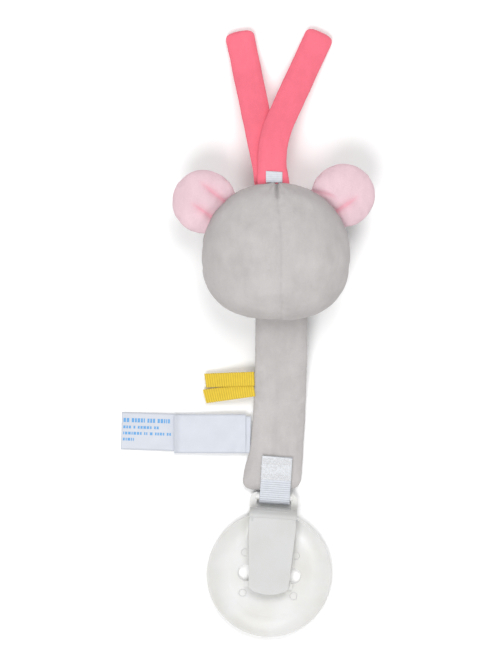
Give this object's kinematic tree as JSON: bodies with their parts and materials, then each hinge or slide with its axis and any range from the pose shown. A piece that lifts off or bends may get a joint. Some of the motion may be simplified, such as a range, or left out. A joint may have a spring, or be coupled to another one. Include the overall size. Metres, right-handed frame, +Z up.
{
  "type": "soother holder toy",
  "caption": "Soft mouse with padded straps on its head, a padded strap body and a round garment clip; it holds a baby's soother.",
  "frame": {"origin": "on the table under the middle of the outline, with the toy lying face down", "axes": "+Y from the clip to the head straps, +X to the right seen from the back, +Z up, out of the toy's back"},
  "size_m": [0.0914, 0.2193, 0.0395],
  "materials": {
    "velour_grey": "short soft pile",
    "velour_pale_pink": "short soft pile",
    "velour_pink": "short soft pile",
    "wadding_white": "loose fibre",
    "thread_dark": "satin stitch",
    "fastening_tape": "hook and loop",
    "satin_white": "satin, slightly glossy",
    "grosgrain_yellow": "ribbed",
    "webbing_white": "ribbed",
    "thread_white": "sewing thread",
    "plastic_white": "moulded, slightly translucent"
  },
  "bodies": {
    "body_strap": {"body_back_panel": "velour_grey", "body_front_panel": "velour_grey", "body_wadding": "wadding_white", "webbing_loop": "webbing_white", "webbing_stitching": "thread_white"},
    "head": {"head_back_left": "velour_grey", "head_back_right": "velour_grey", "head_front": "velour_grey", "head_filling": "wadding_white", "eye_left": "thread_dark", "eye_right": "thread_dark", "nose": "velour_pink"},
    "ear_left": {"ear_left_back": "velour_pale_pink", "ear_left_front": "velour_grey", "ear_left_wadding": "wadding_white"},
    "ear_right": {"ear_right_back": "velour_pale_pink", "ear_right_front": "velour_grey", "ear_right_wadding": "wadding_white"},
    "strap_near": {"strap_near_back": "velour_pink", "strap_near_front": "velour_pink", "strap_near_wadding": "wadding_white", "hook_patch": "fastening_tape", "strap_anchor_tab": "satin_white"},
    "strap_far": {"strap_far_back": "velour_pink", "strap_far_front": "velour_pink", "strap_far_wadding": "wadding_white", "loop_patch": "fastening_tape"},
    "ribbons": {"ribbon_upper": "grosgrain_yellow", "ribbon_lower": "grosgrain_yellow"},
    "label_long": {"label_long_leaf": "satin_white"},
    "label_short": {"label_short_leaf": "satin_white"},
    "clip": {"clip_body": "plastic_white"},
    "lever": {"clip_lever": "plastic_white"}
  },
  "joints": [
    {"name": "neck_bend", "type": "hinge", "parent": "body_strap", "child": "head", "pos_m": [0.0115, 0.002, 0.0139], "axis": [1, 0, 0], "range_deg": [-45, 75]},
    {"name": "ear_left_fold", "type": "hinge", "parent": "head", "child": "ear_left", "pos_m": [-0.01195, 0.04416, 0.02046], "axis": [0.5678, 0.8231, 0], "range_deg": [-40, 40], "stiffness_Nm_per_rad": 0.0015},
    {"name": "ear_right_fold", "type": "hinge", "parent": "head", "child": "ear_right", "pos_m": [0.02956, 0.04599, 0.02046], "axis": [0.6414, -0.7672, 0], "range_deg": [-40, 40], "stiffness_Nm_per_rad": 0.0015},
    {"name": "strap_near_bend", "type": "hinge", "parent": "head", "child": "strap_near", "pos_m": [0.0086, 0.05595, 0.02211], "axis": [1, 0, 0], "range_deg": [0, 70]},
    {"name": "strap_far_bend", "type": "hinge", "parent": "head", "child": "strap_far", "pos_m": [0.0074, 0.05595, 0.01881], "axis": [1, 0, 0], "range_deg": [-80, 0]},
    {"name": "ribbon_flip", "type": "hinge", "parent": "body_strap", "child": "ribbons", "pos_m": [0.00085, -0.0186, 0.00565], "axis": [0, -1, 0], "range_deg": [-70, 70], "stiffness_Nm_per_rad": 0.0005},
    {"name": "label_flip", "type": "hinge", "parent": "body_strap", "child": "label_long", "pos_m": [-0.0005, -0.0362, 0.00235], "axis": [0, -1, 0], "range_deg": [-60, 60]},
    {"name": "label_page_turn", "type": "hinge", "parent": "label_long", "child": "label_short", "pos_m": [-0.0005, -0.0362, 0.00295], "axis": [0, -1, 0], "range_deg": [-35, 0]},
    {"name": "clip_swing", "type": "hinge", "parent": "body_strap", "child": "clip", "pos_m": [0.00898, -0.05906, 0.0028], "axis": [-0.998, 0.0637, 0], "range_deg": [-110, 80]},
    {"name": "lever_open", "type": "hinge", "parent": "clip", "child": "lever", "pos_m": [0.00849, -0.06671, 0.0078], "axis": [-0.998, 0.0637, 0], "range_deg": [0, 95]}
  ]
}
